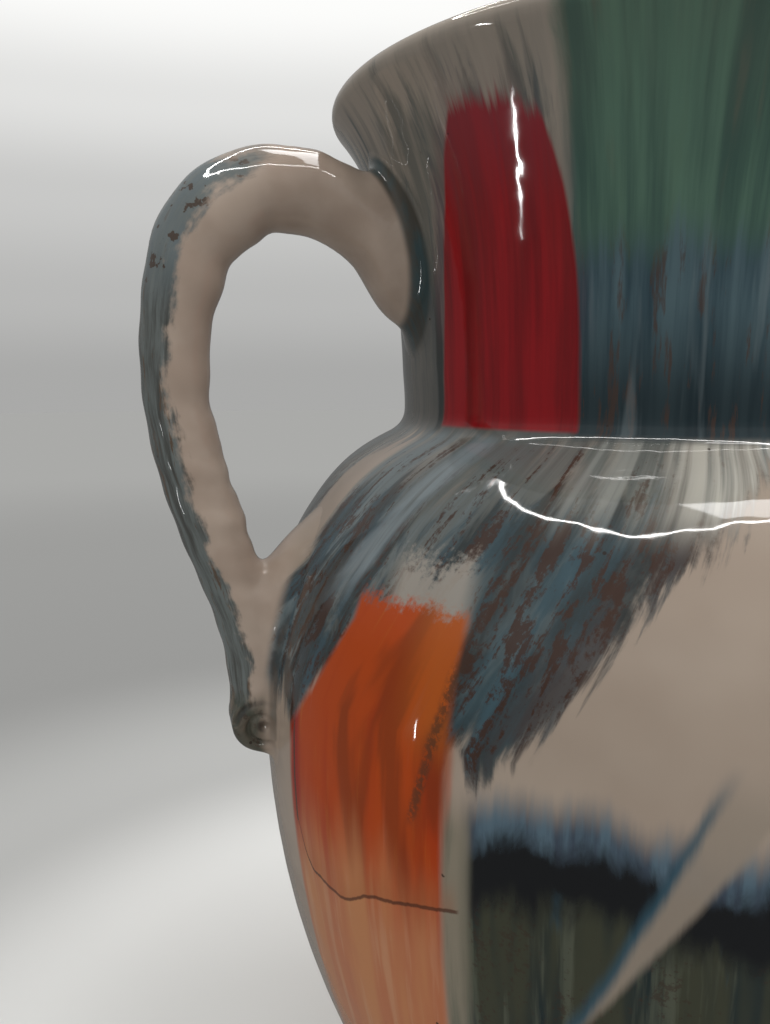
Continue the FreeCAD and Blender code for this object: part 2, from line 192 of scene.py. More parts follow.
def coil_place(p):
    """Where points are along the handle's coil: distance from it, length, and shares side and across."""
    gap, along, side, across = (np.empty(len(p)) for _ in range(4))
    for k in range(0, len(p), 20000):
        q = p[k:k + 20000]
        dx = -q[:, :1] - CENTRE[:, 0]
        dz = q[:, 2:] - CENTRE[:, 1]
        s = (dx * SIDE[:, 0] + dz * SIDE[:, 1]) / line[:, 2]
        a = q[:, 1:2] / line[:, 3]
        o = (dx * SIDE[:, 1] - dz * SIDE[:, 0]) / 1.5
        m = s * s + a * a + o * o
        i = np.clip(m.argmin(1), 1, m.shape[1] - 2)
        j = np.arange(len(q))
        before, here, after = m[j, i - 1], m[j, i], m[j, i + 1]
        bend = np.maximum(before - 2 * here + after, 1e-9)
        lowest = np.where(m.argmin(1) == i, here - (after - before) ** 2 / (8 * bend), m.min(1))
        m1 = np.sqrt(np.maximum(lowest, 1e-9))
        gap[k:k + 20000] = (m1 - 1) * np.minimum(line[i, 2], line[i, 3])
        along[k:k + 20000] = LENGTH[i] + COIL_STEP * np.clip((before - after) / (2 * bend), -0.5, 0.5)
        side[k:k + 20000] = s[j, i] / m1
        across[k:k + 20000] = a[j, i] / m1
    return gap, along, side, across


def lumps(along, side, across):
    """The squeezed waves that fingers left along the coil."""
    inner = np.clip(0.5 - 0.5 * side, 0, 1)
    waves = 0.26 * np.sin(along / 19 * 2 * np.pi + 0.8 + 0.9 * across) * inner
    waves += 0.12 * np.sin(along / 11.3 * 2 * np.pi + 2.2 * side + 1.7 * across)
    leg = np.clip((along - 95) / 25, 0, 1) * np.clip((165 - along) / 20, 0, 1)
    waves += 0.13 * np.sin(along / 6.4 * 2 * np.pi + 2.6 * side + 1.2) * inner * leg
    return 0.3 + waves


def pads(p):
    """How far the wads of clay at the handle's two roots stand out from the wall."""
    out = np.zeros(len(p))
    for height, up, across, thick in ((180.0, 22.0, 14.0, 7.0), (261.0, 25.0, 16.5, 3.0)):
        rest = 1 - ((p[:, 2] - height) / up) ** 2 - (p[:, 1] / across) ** 2
        out += thick * np.clip(rest, 0, 1) ** 1.3
    return out * (p[:, 0] < 0)


def roll_gap(p):
    """How far points are outside the rolled end, with a spiral groove and a pit in each side."""
    dx, dz = p[:, 0] + ROLL[0], p[:, 2] - ROLL[1]
    rho = np.hypot(dx, dz)
    first = (np.pi - np.arctan2(dz, dx)) / (2 * np.pi)
    cut = np.zeros(len(p))
    for k in (0, 1):
        turns = first + k
        away = rho - (6.5 - 3.0 * turns)
        fade = np.clip((1.65 - turns) / 0.2, 0, 1)
        cut = np.maximum(cut, 1.15 * np.exp(-(away / 0.62) ** 2) * fade)
    cut = np.maximum(cut, 1.6 * np.exp(-(np.hypot(dx - 0.7, dz - 0.3) / 1.0) ** 2))
    half = ROLL_HALF + 0.5 * np.exp(-(rho / 4) ** 2) - cut
    a, b = rho - (ROLL_RADIUS - 0.15 - ROLL_EDGE), np.abs(p[:, 1]) - (half - ROLL_EDGE)
    return np.minimum(np.maximum(a, b), 0) + np.hypot(np.maximum(a, 0), np.maximum(b, 0)) - ROLL_EDGE


def join(a, b, reach):
    """Two forms smoothed into each other."""
    h = np.maximum(reach - np.abs(a - b), 0) / reach
    return np.minimum(a, b) - h ** 3 * reach / 6


def handle_gap(p):
    """How far points are outside the handle with its rolled end."""
    gap, along, side, across = coil_place(p)
    return join(gap + lumps(along, side, across), roll_gap(p), 2.2)


def jug_gap(p):
    """How far points are outside the wall with its handle, and outside the wall alone."""
    wall = wall_gap(p)
    reach = 3.6 + 4.0 * np.clip((225 - p[:, 2]) / 25, 0, 1)
    return join(wall - pads(p), handle_gap(p), reach), wall


def handle_field(p):
    """Below zero in the handle with its smoothed roots, down to a little under the wall's surface."""
    gap, wall = jug_gap(p)
    return np.maximum(np.maximum(gap, -(wall + UNDER_WALL)), gap - wall + SKIN)


def surface_net(field, low, high, step):
    """Quads round the zero of a field, one point to each cell of a grid that the surface crosses."""
    counts = [int(math.ceil((b - a) / step)) + 1 for a, b in zip(low, high)]
    axes = [a + step * np.arange(n) for a, n in zip(low, counts)]
    grid = np.stack(np.meshgrid(*axes, indexing="ij"), -1)
    value = field(grid.reshape(-1, 3)).reshape(counts)
    cells = np.array(counts) - 1
    total, hits, crossings = np.zeros((*cells, 3)), np.zeros(cells), []
    for axis in range(3):
        first = [slice(None)] * 3
        second = [slice(None)] * 3
        first[axis], second[axis] = slice(0, -1), slice(1, None)
        a, b = value[tuple(first)], value[tuple(second)]
        cross = (a < 0) != (b < 0)
        place = np.argwhere(cross)
        point = np.array(low) + step * place
        point[:, axis] += step * a[cross] / (a[cross] - b[cross])
        sides = [k for k in range(3) if k != axis]
        around = []
        for i, j in ((0, 0), (1, 0), (1, 1), (0, 1)):
            cell = place.copy()
            cell[:, sides[0]] -= i
            cell[:, sides[1]] -= j
            np.add.at(total, tuple(cell.T), point)
            np.add.at(hits, tuple(cell.T), 1)
            around.append(cell)
        flip = (a[cross] >= 0) != (axis == 1)
        crossings.append((around, flip))
    number = np.zeros(cells, int) - 1
    number[hits > 0] = np.arange(int((hits > 0).sum()))
    points = total[hits > 0] / hits[hits > 0][:, None]
    quads = []
    for around, flip in crossings:
        quad = np.stack([number[tuple(cell.T)] for cell in around], 1)
        quad[flip] = quad[flip][:, ::-1]
        quads.append(quad)
    return points, np.concatenate(quads)


def slopes(field, p, reach=0.06):
    """The field's direction of growth at the points."""
    rise = np.empty_like(p)
    for axis in range(3):
        step = np.zeros(3)
        step[axis] = reach
        rise[:, axis] = (field(p + step) - field(p - step)) / (2 * reach)
    return rise


def settle(p, rounds):
    """Moves the points that are near the jug's own surface exactly on to it, and gives all their normals."""
    for _ in range(rounds):
        gap, wall = jug_gap(p)
        on_skin = (gap > -(wall + UNDER_WALL)) & (gap > gap - wall + SKIN)
        rise = slopes(lambda q: jug_gap(q)[0], p)
        size = np.maximum((rise ** 2).sum(1), 0.1)
        p = p - np.where(on_skin & (np.abs(gap) < 1.5), gap / size, 0)[:, None] * rise
    rise = slopes(lambda q: jug_gap(q)[0], p, 0.4)
    inner = slopes(wall_gap, p)
    under = (jug_gap(p)[1] < -1.0)[:, None]
    rise = np.where(under, -inner, rise)
    return p, rise / np.linalg.norm(rise, axis=1)[:, None]


def piece(name, points, faces, normals=None):
    """A smooth-shaded mesh object from points in millimetres."""
    mesh = bpy.data.meshes.new(name)
    mesh.from_pydata((points * MM).tolist(), [], faces)
    mesh.shade_smooth()
    if normals is not None:
        mesh.normals_split_custom_set_from_vertices(normals.tolist())
    thing = bpy.data.objects.new(name, mesh)
    bpy.context.scene.collection.objects.link(thing)
    return thing


def lathe(name, path, steps, shape):
    """A closed turned mesh from a path whose ends lie on the axis. shape moves a ring's points in or out."""
    turn = 2 * np.pi * np.arange(steps) / steps
    rings = path[1:-1]
    radius = shape(turn[None, :], rings)
    points = np.stack([radius * np.cos(turn), radius * np.sin(turn),
                       np.repeat(rings[:, 1:2], steps, 1)], -1).reshape(-1, 3)
    points = np.concatenate([points, [[0, 0, path[0, 1]], [0, 0, path[-1, 1]]]])
    first, last = len(points) - 2, len(points) - 1
    faces = []
    for i in range(len(rings) - 1):
        a, b = i * steps, (i + 1) * steps
        faces += [(a + j, a + (j + 1) % steps, b + (j + 1) % steps, b + j) for j in range(steps)]
    end = (len(rings) - 1) * steps
    faces += [((j + 1) % steps, j, first) for j in range(steps)]
    faces += [(end + j, end + (j + 1) % steps, last) for j in range(steps)]
    return piece(name, points, faces)


def uneven(turn, rings):
    """The radius of each ring's points, with the mouth's form and the wall's unevenness."""
    z = rings[:, 1:2]
    hold = np.clip((rings[:, :1] - 20) / 30, 0, 1)
    lip = np.clip((TOP - z) / 6, 0.3, 1)
    return rings[:, :1] + (mouth_shift(turn, z) - shortfall(turn, z) * lip) * hold


# The lip, and the inside down to the floor.
tilt = math.radians(LIP_ANGLE)
half_turn = np.linspace(0, np.pi, 15)[:, None]
lip = np.array(LIP_CENTRE) + LIP_HALF * (np.cos(half_turn) * [math.cos(tilt), -math.sin(tilt)]
                                         + np.sin(half_turn) * [math.sin(tilt), math.cos(tilt)])
neck_inside = (neck - out_of(neck) * NECK_WALL)[::-1]
neck_inside = neck_inside[neck_inside[:, 1] > 221]


def hollow(depth, floor):
    """The inside of the belly at a depth under the outside, from the throat to the middle of the floor."""
    wall = (belly - out_of(belly) * depth)[::-1]
    wall = wall[(wall[:, 1] < 212) & (wall[:, 1] > 30)]
    corner = wall[-1, 0] - 9.5
    turned = bend(wall[-1], (corner, floor), (corner - 17, floor), 14)
    return np.concatenate([wall, turned[1:], [[0.0, floor]]])


start = low_part[low_part[:, 1] < 18]
climb = np.concatenate([spaced(start, 0.5), spaced(low_part[len(start):], WALL_STEP), fillet[1:-1],
                        spaced(high_part, WALL_STEP)])
rim = np.concatenate([climb, lip[1:], spaced(neck_inside[1:], 2.5), [[61.3, 215.5], [62.6, 214.5]]])
shell_path = np.concatenate([[[0, 7.7], [20, 7.7], [56.9, 7.7], [57.6, 9.8]], rim,
                             spaced(hollow(BELLY_WALL - 0.35, 14.65), 4.0)])
shell = lathe("glazed_wall", shell_path, WALL_ANGLES, uneven)
liner_front = spaced(hollow(BELLY_WALL, 15.0), INSIDE_STEP)
liner_back = spaced(hollow(BELLY_WALL - 0.3, 14.7), INSIDE_STEP)[::-1]
liner_path = np.concatenate([liner_back, [[61.7, 215.2], [61.35, 214.9]], liner_front])
liner = lathe("glazed_inside", liner_path, INSIDE_ANGLES, uneven)


def foot_radius(turn, rings):
    """The turned foot: fine tool rings, a little out of round."""
    wave = 0.12 * np.sin(2 * turn + 1) + 0.06 * np.sin(5 * turn)
    rings_cut = 0.09 * np.sin(rings[:, 1:2] * 4.2 + 0.4 * np.sin(turn))
    edge = np.clip((rings[:, :1] - 48) / 8, 0, 1)
    return rings[:, :1] + (wave - 0.2 + rings_cut) * edge


foot_path = [(0, 2.5), (20, 2.6), (40, 2.5), (46.6, 2.5), (47.4, 2.3), (49.6, 0.25), (50.2, 0.0), (59.6, 0.0),
             (61.0, 0.35), (62.2, 1.4), (62.8, 2.8)]
foot_path += [(63.0, z) for z in np.arange(3.3, 6.9, 0.4)]
foot_path += [(62.75, 8.0), (61.8, 9.2), (60.4, 9.8), (58.9, 10.0), (57.9, 9.9), (57.6, 8.6), (57.5, 7.6),
              (40, 7.55), (0, 7.5)]
foot = lathe("turned_foot", np.array(foot_path, float), 256, foot_radius)


def attributes(thing, points):
    """What the handle's material needs at each point: along the coil, round it, and off the wall."""
    _, along, side, _ = coil_place(points)
    for name, values in (("along", along), ("side", side), ("off_wall", wall_gap(points))):
        layer = thing.data.attributes.new(name, "FLOAT", "POINT")
        layer.data.foreach_set("value", values.astype(np.float32))


def handle_part(name, low, high, step, clip):
    """Meshes the part of the handle that clip leaves, in cells a step wide between two corners."""
    def field(p):
        return np.maximum(handle_field(p), clip(p))

    points, quads = surface_net(field, low, high, step)
    points, normals = settle(points, 3)
    made = piece(name, points, quads.tolist(), normals)
    attributes(made, points)
    return made


handle = handle_part("glazed_handle", (-136, -28, 156), (-58, 28, 294), 0.95,
                     lambda p: CUT - 1.5 - p[:, 2])
scroll = handle_part("glazed_scroll", (-119, -17, 136), (-92, 17, 163), 0.45,
                     lambda p: p[:, 2] - CUT)


class Value:
    """A number, vector or colour in a material's nodes; sums of values add the nodes they need."""

    def __init__(self, tree, socket):
        self.tree, self.socket = tree, socket

    def math(self, operation, *others):
        node = self.tree.nodes.new("ShaderNodeMath")
        node.operation = operation
        for socket, value in zip(node.inputs, (self, *others)):
            plug(self.tree, value, socket)
        return Value(self.tree, node.outputs[0])

    def __add__(self, other):
        return self.math("ADD", other)

    def __sub__(self, other):
        return self.math("SUBTRACT", other)

    def __mul__(self, other):
        return self.math("MULTIPLY", other)

    def __neg__(self):
        return self.math("MULTIPLY", -1.0)

    def between(self, low, high):
        """0 below low, 1 above high and a smooth step from one to the other; high may be the lower."""
        node = self.tree.nodes.new("ShaderNodeMapRange")
        node.interpolation_type = "SMOOTHSTEP"
        plug(self.tree, self, node.inputs[0])
        plug(self.tree, low, node.inputs[1])
        plug(self.tree, high, node.inputs[2])
        return Value(self.tree, node.outputs[0])

    def flat(self, low, high):
        """0 to 1 in a straight line from low to high."""
        node = self.tree.nodes.new("ShaderNodeMapRange")
        plug(self.tree, self, node.inputs[0])
        plug(self.tree, low, node.inputs[1])
        plug(self.tree, high, node.inputs[2])
        return Value(self.tree, node.outputs[0])

    def without(self, other):
        """This share, less where the other is."""
        return self * one_less(other)


def one_less(value):
    return (-value) + 1.0


def plug(tree, value, socket):
    """Links a Value to a socket, or sets the socket to a plain number or colour."""
    if isinstance(value, Value):
        tree.links.new(value.socket, socket)
    else:
        socket.default_value = value


def combine(tree, x, y, z):
    node = tree.nodes.new("ShaderNodeCombineXYZ")
    for socket, value in zip(node.inputs, (x, y, z)):
        plug(tree, value, socket)
    return Value(tree, node.outputs[0])


def noise(vector, detail=3.0, rough=0.55, distort=0.0):
    node = vector.tree.nodes.new("ShaderNodeTexNoise")
    plug(vector.tree, vector, node.inputs["Vector"])
    node.inputs["Scale"].default_value = 1.0
    node.inputs["Detail"].default_value = detail
    node.inputs["Roughness"].default_value = rough
    node.inputs["Distortion"].default_value = distort
    return Value(vector.tree, node.outputs["Fac"])


def blend(share, a, b):
    """Colour a where share is 0 and colour b where it is 1."""
    tree = share.tree
    node = tree.nodes.new("ShaderNodeMix")
    node.data_type = "RGBA"
    plug(tree, share, node.inputs[0])
    plug(tree, colour(a), node.inputs[6])
    plug(tree, colour(b), node.inputs[7])
    return Value(tree, node.outputs[2])


def blend_number(share, a, b):
    """Number a where share is 0 and number b where it is 1."""
    return a * one_less(share) + b * share


def colour(value):
    """A colour given as screen values from 0 to 255, in linear light."""
    if isinstance(value, Value):
        return value
    out = []
    for c in value:
        c /= 255
        out.append(c / 12.92 if c <= 0.04045 else ((c + 0.055) / 1.055) ** 2.4)
    return (*out, 1.0)


class Surface:
    """Places on the jug for its materials: height in mm, and angles round the axis in degrees."""

    def __init__(self, tree):
        self.tree = tree
        node = tree.nodes.new("ShaderNodeTexCoord")
        split = tree.nodes.new("ShaderNodeSeparateXYZ")
        scale = tree.nodes.new("ShaderNodeVectorMath")
        scale.operation = "SCALE"
        scale.inputs["Scale"].default_value = 1000.0
        tree.links.new(node.outputs["Object"], scale.inputs[0])
        tree.links.new(scale.outputs[0], split.inputs[0])
        self.place = Value(tree, scale.outputs[0])
        self.x, self.y, self.z = (Value(tree, s) for s in split.outputs)
        self.radius = (self.x * self.x + self.y * self.y).math("SQRT")
        self.dx = self.x.math("DIVIDE", self.radius.math("MAXIMUM", 1.0))
        self.dy = self.y.math("DIVIDE", self.radius.math("MAXIMUM", 1.0))
        turn = self.z.flat(166.0, 222.0) * 0.24
        c, s = turn.math("COSINE"), turn.math("SINE")
        self.lean_x, self.lean_y = self.dx * c + self.dy * s, self.dy * c - self.dx * s

    def from_angle(self, degrees):
        """Degrees round the axis from here."""
        c, s = math.cos(math.radians(degrees)), math.sin(math.radians(degrees))
        ahead = self.dx * c + self.dy * s
        aside = self.dy * c - self.dx * s
        return aside.math("ARCTAN2", ahead) * (180 / math.pi)

    def streaks(self, width, length, shift=0.0, detail=4.0, rough=0.6, curl=0.0):
        """Noise drawn out down the wall, leaning on the shoulder: width and length are in mm."""
        down = self.z * (1 / length) + shift
        across = combine(self.tree, self.lean_x * (80 / width), self.lean_y * (80 / width), down)
        return noise(across, detail, rough, curl)

    def cloud(self, size, shift=0.0, detail=3.0, rough=0.5):
        """Even noise: size is in mm."""
        place = combine(self.tree, self.x * (1 / size) + shift, self.y * (1 / size), self.z * (1 / size))
        return noise(place, detail, rough)


def box_mask(u, left, right, soft):
    """1 where u lies from left to right, with soft edges, and 0 outside."""
    return u.between(left - soft, left + soft).without(u.between(right - soft, right + soft))


BEIGE = (156, 140, 126)
PALE = (166, 151, 137)
TEAL = (86, 91, 89)
PALE_BLUE = (102, 117, 122)
DARK_TEAL = (38, 47, 49)
BLUE = (46, 72, 84)
BROWN = (62, 38, 26)
NAVY = (17, 19, 22)


def place_on(on, angle, wander, drift):
    """Degrees round from an angle, wandering by up to about half of drift either way."""
    return on.from_angle(angle) + (wander - 0.5) * drift


def run_noises(on):
    """The noises that draw the runs: fine, middle and broad streaks, curled streaks, and specks."""
    fine = on.streaks(3.2, 55, 3.1, 4.0, 0.6)
    middle = on.streaks(8.5, 100, 7.7, 3.0, 0.55)
    broad = on.streaks(26, 190, 1.3, 2.0, 0.5)
    curl = on.streaks(6.0, 22, 9.0, 5.0, 0.6, 0.7)
    speck = on.cloud(1.3, 2.0, 3.0, 0.7)
    return fine, middle, broad, curl, speck


def shoulder_runs(on, noises):
    """Streaked runs that cover the shoulder and end in ragged drips, with fields left beige."""
    fine, middle, broad, curl, speck = noises
    z = on.z
    ragged = z + (fine - 0.5) * 22.0 + (curl - 0.5) * 16.0
    patch = on.cloud(22, 9.0, 2.0, 0.5)
    tint = blend(patch.between(0.25, 0.75), BEIGE, PALE)
    a = on.from_angle(240)
    lower = a + 17.0 - (ragged - 158.0) * 0.42
    field = lower.between(-1.0, 1.6) * (ragged - (a - 3.0) * 1.2).between(206, 200)
    field = field * a.between(46, 36) * a.between(-19, -17)
    b = on.from_angle(96)
    field = field.math("MAXIMUM", (b + 34.0 - (ragged - 158.0) * 0.5).between(-1.5, 2.0)
                       * ragged.between(205, 198) * b.between(40, 30) * b.between(-36, -33))
    band = place_on(on, 182.5, curl, 5.0) + (z - 195.0) * -0.10
    band = box_mask(band, -5.5, 4.2, 1.2) * z.between(158, 172).without(ragged.between(214, 220))
    field = field.math("MAXIMUM", band)
    runs = (ragged + (middle - 0.5) * 34.0 + (broad - 0.5) * 20.0).between(158, 167).without(field)
    tint = blend(runs * 0.93, tint, blend((broad * 0.5 + fine * 0.5).between(0.4, 0.62), TEAL, PALE_BLUE))
    pale = (middle * 0.5 + curl * 0.5).between(0.46, 0.56) * z.between(204, 212)
    tint = blend(pale * runs * 0.6, tint, (146, 137, 126))
    weight = box_mask(on.from_angle(193.5), -6.5, 9, 3)
    for centre, left, right, soft in ((226, -11, 16, 4), (318, -30, 46, 10), (50, -22, 12, 8)):
        weight = weight.math("MAXIMUM", box_mask(on.from_angle(centre), left, right, soft))
    weight = weight * z.between(215, 203)
    dark = (curl * 0.75 + middle * 0.25 + weight * 0.10).between(0.49, 0.60) * z.between(219, 212) * runs
    deep = blend((fine * 0.7 + speck * 0.3).between(0.42, 0.6), DARK_TEAL, BLUE)
    tint = blend(dark * 0.85, tint, blend(middle.between(0.45, 0.62) * 0.55, deep, (58, 46, 38)))
    cloudy = on.streaks(11, 42, 71.0, 3.0, 0.5, 0.5)
    mass = blend(cloudy.between(0.4, 0.6), (34, 41, 43), (64, 88, 97))
    mass_share = box_mask(on.from_angle(226), -11, 17, 3.0) * z.between(210, 202) * runs
    tint = blend(mass_share * 0.6, tint, mass)
    stain = lower.between(-7.5, -2.5) * (fine * 0.5 + cloudy * 0.5).between(0.42, 0.56) * z.between(212, 204)
    tint = blend(stain * runs * a.between(20, 8) * 0.6, tint, (70, 46, 34))
    grain = on.streaks(3.2, 12, 11.0, 5.0, 0.7, 0.5) * 0.75 + speck * 0.25
    tint = blend((grain + weight * 0.04).between(0.53, 0.61) * runs * z.between(221, 217) * 0.85, tint, BROWN)
    # Painted reflection: a whitish sheen of light on the right of the shoulder just under the seam, brightest
    # furthest round.
    c = on.from_angle(262)
    haze_and_sheen = (middle * 0.4 + fine * 0.6).between(0.38, 0.6) * z.between(201, 211)
    haze_and_sheen = haze_and_sheen * c.between(-42, -30) * c.between(60, 30)
    near = c.between(-26, -14)
    tint = blend(haze_and_sheen * runs * (near * 0.2 + 0.7), tint, blend(near, (150, 148, 140), (196, 191, 180)))
    stream = place_on(on, 204.5, curl, 5.0) - (z - 205.0) * 0.3
    stream = box_mask(stream, -2.4, 2.2, 1.2) * z.between(182, 196) * z.between(222, 218)
    return blend(stream * (fine.between(0.3, 0.5) * 0.8), tint, (128, 139, 144))


def neck_runs(on, noises, tint):
    """The neck: beige at the rim, grey beside the handle, and blue under green from the red to the lip."""
    fine, middle, broad, curl, _ = noises
    z = on.z
    on_neck = z.between(219.5, 222)
    grey = blend((middle * 0.6 + curl * 0.4).between(0.4, 0.6), (98, 98, 93), (138, 130, 120))
    grey = blend(on.streaks(4.0, 38, 21.0, 4.0, 0.65, 0.4).between(0.5, 0.62) * 0.7, grey, (72, 82, 84))
    grey = blend(z.between(262, 244) * 0.7, grey, (80, 81, 80))
    tint = blend(on_neck, tint, grey)
    beige_rim = on_neck * (z + (fine - 0.5) * 40.0 + (curl - 0.5) * 36.0).between(282, 294)
    tint = blend(beige_rim * 0.8, tint, (152, 142, 131))
    dark_run = on_neck * box_mask(place_on(on, 193.0, curl, 3.0), -1.4, 1.3, 0.6) * z.between(262, 240)
    tint = blend(dark_run * 0.8, tint, (38, 44, 44))
    zone = on_neck * (place_on(on, 224.5, curl, 3.0)).between(-1.0, 1.5)
    zone = zone * (place_on(on, 322.0, broad, 70.0) + (fine - 0.5) * 14.0).between(2.0, -4.0)
    low_blue = blend((fine * 0.4 + middle * 0.6).between(0.4, 0.62), (80, 101, 108), (40, 62, 72))
    low_blue = blend(z.between(250, 226) * 0.8, low_blue, (20, 33, 38))
    low_blue = blend(on.streaks(3.4, 26, 13.0, 5.0, 0.7).between(0.54, 0.63) * 0.7, low_blue, (72, 52, 42))
    pale_runs = on.streaks(6.0, 70, 33.0, 3.0, 0.6).between(0.55, 0.68)
    low_blue = blend(pale_runs * 0.45, low_blue, (104, 116, 120))
    tint = blend(zone * (z + (middle - 0.5) * 30.0 + (fine - 0.5) * 20.0).between(292, 274), tint, low_blue)
    green = blend((middle * 0.6 + fine * 0.4).between(0.4, 0.62), (86, 116, 99), (60, 86, 77))
    green = blend(on.streaks(7.0, 50, 41.0, 3.0, 0.6, 0.5).between(0.55, 0.68) * 0.45, green, (92, 92, 80))
    green_share = zone * (z + (middle - 0.5) * 24.0 + (fine - 0.5) * 18.0).between(253, 264)
    return blend(green_share * 0.95, tint, green)


def lower_runs(on, noises, tint):
    """The lower belly: a blue fringe, then navy, then dark olive runs, crossed by a pale wedge."""
    fine, middle, broad, curl, speck = noises
    z = on.z
    edge = z + (middle - 0.5) * 9.0 + (fine - 0.5) * 9.0 + (broad - 0.5) * 16.0
    zone = on.from_angle(221.5).between(-1.0, 1.0)
    zone = zone * (place_on(on, 1, broad, 12.0) + (fine - 0.5) * 4.0).between(1.5, -2)
    other = box_mask(place_on(on, 60, broad, 12.0) + (fine - 0.5) * 4.0, -23, 39, 1.5)
    zone = zone.math("MAXIMUM", other)
    fringe = blend(fine.between(0.4, 0.6), (68, 98, 116), (24, 54, 76))
    tint = blend(edge.between(161, 152) * zone * 0.9, tint, fringe)
    tint = blend((edge + (curl - 0.5) * 13.0).between(153, 147) * zone, tint, NAVY)
    low = blend(middle.between(0.42, 0.58), (60, 62, 48), (30, 42, 43))
    low = blend(fine.between(0.52, 0.66) * 0.7, low, (88, 92, 78))
    low = blend(on.streaks(9, 50, 27.0, 4.0, 0.6, 0.4).between(0.52, 0.62) * 0.75, low, (40, 74, 90))
    low = blend((curl * 0.5 + speck * 0.5).between(0.55, 0.62) * 0.6, low, (58, 44, 34))
    tint = blend((edge + (curl - 0.5) * 14.0).between(142, 134) * zone * 0.95, tint, low)
    handle_side = on.from_angle(243) - (z - 158.0) * 0.26 + (fine - 0.5) * 1.6
    far_side = on.from_angle(82) + (z - 158.0) * 0.2 + (fine - 0.5) * 2.0
    across = blend_number(on.from_angle(0).between(-1, 1), handle_side, far_side)
    wedge = box_mask(across, 0.0, (z - 127.0) * 0.12 + 2.2, 0.8) * z.between(96, 122) * z.between(172, 160)
    return blend(wedge * 0.9, tint, blend(across.between(0.3, 1.8), (50, 80, 94), (146, 134, 121)))


def run_glaze(on, noises):
    """The layered runs of glaze over the whole wall, as a colour."""
    tint = shoulder_runs(on, noises)
    tint = neck_runs(on, noises, tint)
    return lower_runs(on, noises, tint)


def orange_fields(on, noises, tint):
    """The orange fields on the belly, each with a pale halo above it and a thin tide line across it."""
    fine, middle, broad, curl, speck = noises
    z = on.z
    for centre, top in ((207.0, 190.0), (22.0, 186.0), (118.0, 176.0)):
        u = on.from_angle(centre)
        near = u + (middle - 0.5) * 2.6 + (fine - 0.5) * 1.6
        left = z.flat(155, 184) * 11.0 - 15.0
        below_top = (z + (fine - 0.5) * 7.0 + (speck - 0.5) * 7.0).between(top + 1.5, top - 2.5)
        share = box_mask(near, left, 12.2, 0.8) * below_top
        below_halo = (z + (speck - 0.5) * 12.0 + (curl - 0.5) * 14.0).between(top + 11, top + 5)
        halo = box_mask(near, 1.0, 12.0, 1.5) * below_halo
        tint = blend(halo * z.between(top - 6, top - 2) * 0.8, tint, (160, 152, 142))
        hot = blend((middle * 0.6 + broad * 0.4).between(0.42, 0.6), (172, 66, 10), (146, 28, 2))
        hot = blend(on.streaks(8, 60, 51.0, 3.0, 0.5, 0.3).between(0.57, 0.68) * 0.5, hot, (96, 44, 14))
        hot = blend(fine.between(0.55, 0.7) * 0.4, hot, (176, 104, 36))
        hot = blend(u.between(4, 10) * z.between(158, 170) * 0.45, hot, (170, 98, 34))
        soft = blend(middle.between(0.4, 0.62), (184, 124, 82), (176, 108, 74))
        soft = blend(fine.between(0.52, 0.66) * 0.4, soft, (192, 148, 116))
        warm = blend((z + (middle - 0.5) * 34.0 + (fine - 0.5) * 12.0).between(146, 120), hot, soft)
        tint = blend(share * (fine.between(0.2, 0.4) * 0.12 + 0.88), tint, warm)
        stroke = u - 8.0 - (z - 150.0) * 0.14 + (curl - 0.5) * 1.5
        stroke = box_mask(stroke, -0.5, 0.7, 0.4) * z.between(147, 152) * z.between(183, 178)
        tint = blend(stroke * speck.between(0.35, 0.55) * 0.7, tint, (70, 50, 32))
        strip = box_mask(u - 13.6 + (fine - 0.5), -1.6, 1.6, 0.6) * z.between(160, 148)
        tint = blend(strip * 0.8, tint, blend(fine.between(0.4, 0.6), (92, 96, 82), (124, 118, 102)))
        t = u + 5.0
        steep = (t * -0.125).math("MAXIMUM", 0.0).math("POWER", 6.0) * 7.0
        low = steep + t.between(1.0, 8.0) * 6.0 + t.flat(8.0, 20.0) * 6.0 + 123.0 + (curl - 0.5) * 2.0
        tide = (z - low).math("ABSOLUTE").between(0.6, 0.2) * box_mask(t, -8.6, 18.8, 0.3)
        tide = tide.math("MAXIMUM", (t + 9.0 - (z - 140.0) * -0.02).math("ABSOLUTE").between(0.42, 0.15)
                         * z.between(131, 134) * z.between(160, 154))
        glow = (z - low).between(8, 0).without((z - low).between(0.3, -0.3)) * box_mask(t, -9, 18.5, 0.8)
        tint = blend(glow * 0.3, tint, (150, 78, 34))
        tint = blend(tide * 0.8, tint, (72, 38, 22))
    return tint


def red_fields(on, noises, tint):
    """The red fields on the neck, each with a faint haze round it."""
    fine, middle, _, _, _ = noises
    z = on.z
    for centre in (211.0, 28.0, 118.0):
        u = on.from_angle(centre) + (fine - 0.5) * 1.2
        rise = z.flat(224, 286)
        curve = rise * rise * rise
        left = curve * 9.0 + rise * 2.5 - 17.0
        right = curve * -6.0 + 14.6
        upper = (z + (fine - 0.5) * 15.0 + (u * u) * 0.03).between(288, 283.5)
        share = box_mask(u, left, right, 0.45) * z.between(221.3, 222.4) * upper
        red = blend((middle * 0.6 + fine * 0.4).between(0.4, 0.62), (146, 12, 22), (108, 8, 16))
        red = blend((z + (fine - 0.5) * 30.0).between(262, 288) * 0.5, red, (130, 52, 62))
        tint = blend(share * 0.97, tint, red)
        haze_and_sheen = box_mask(u + (fine - 0.5) * 9.0, left - 2.5, right + 0.3, 2.0) * z.between(236, 250)
        haze_and_sheen = haze_and_sheen * (z + (fine - 0.5) * 30.0).between(296, 274)
        tint = blend(haze_and_sheen.without(share) * 0.3, tint, (104, 56, 66))
    return tint


